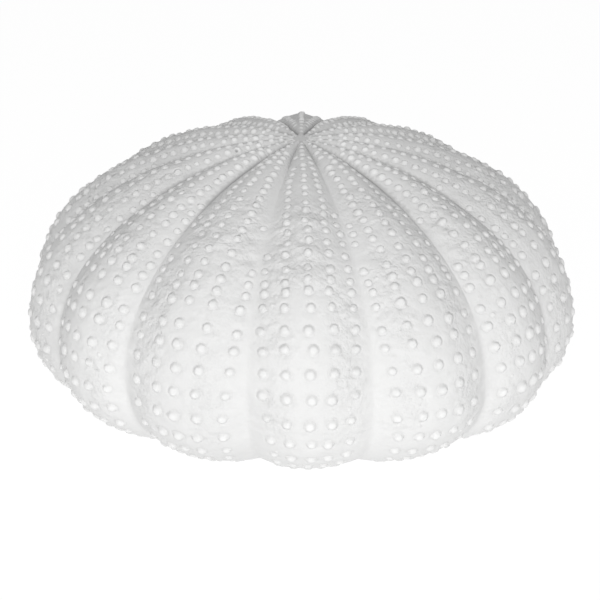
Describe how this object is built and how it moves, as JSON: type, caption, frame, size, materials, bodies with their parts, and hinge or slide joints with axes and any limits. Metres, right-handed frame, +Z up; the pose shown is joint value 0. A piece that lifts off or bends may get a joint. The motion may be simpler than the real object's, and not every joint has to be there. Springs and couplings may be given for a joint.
{
  "type": "sea urchin shell",
  "caption": "Low domed sea urchin shell of rounded radial lobes parted by sharp creases, with a small smooth hub on top and a flat spot underneath.",
  "frame": {"origin": "centre of the bounding box's bottom face, in the plane of the flat spot that the shell rests on", "axes": "+Z up through the hub on top; -Y towards the lobe that faces the viewer; +X to the viewer's right"},
  "size_m": [0.1478, 0.15, 0.0771],
  "materials": {
    "shell": "matte"
  },
  "bodies": {
    "root": {"urchin_shell": "shell"}
  },
  "joints": []
}
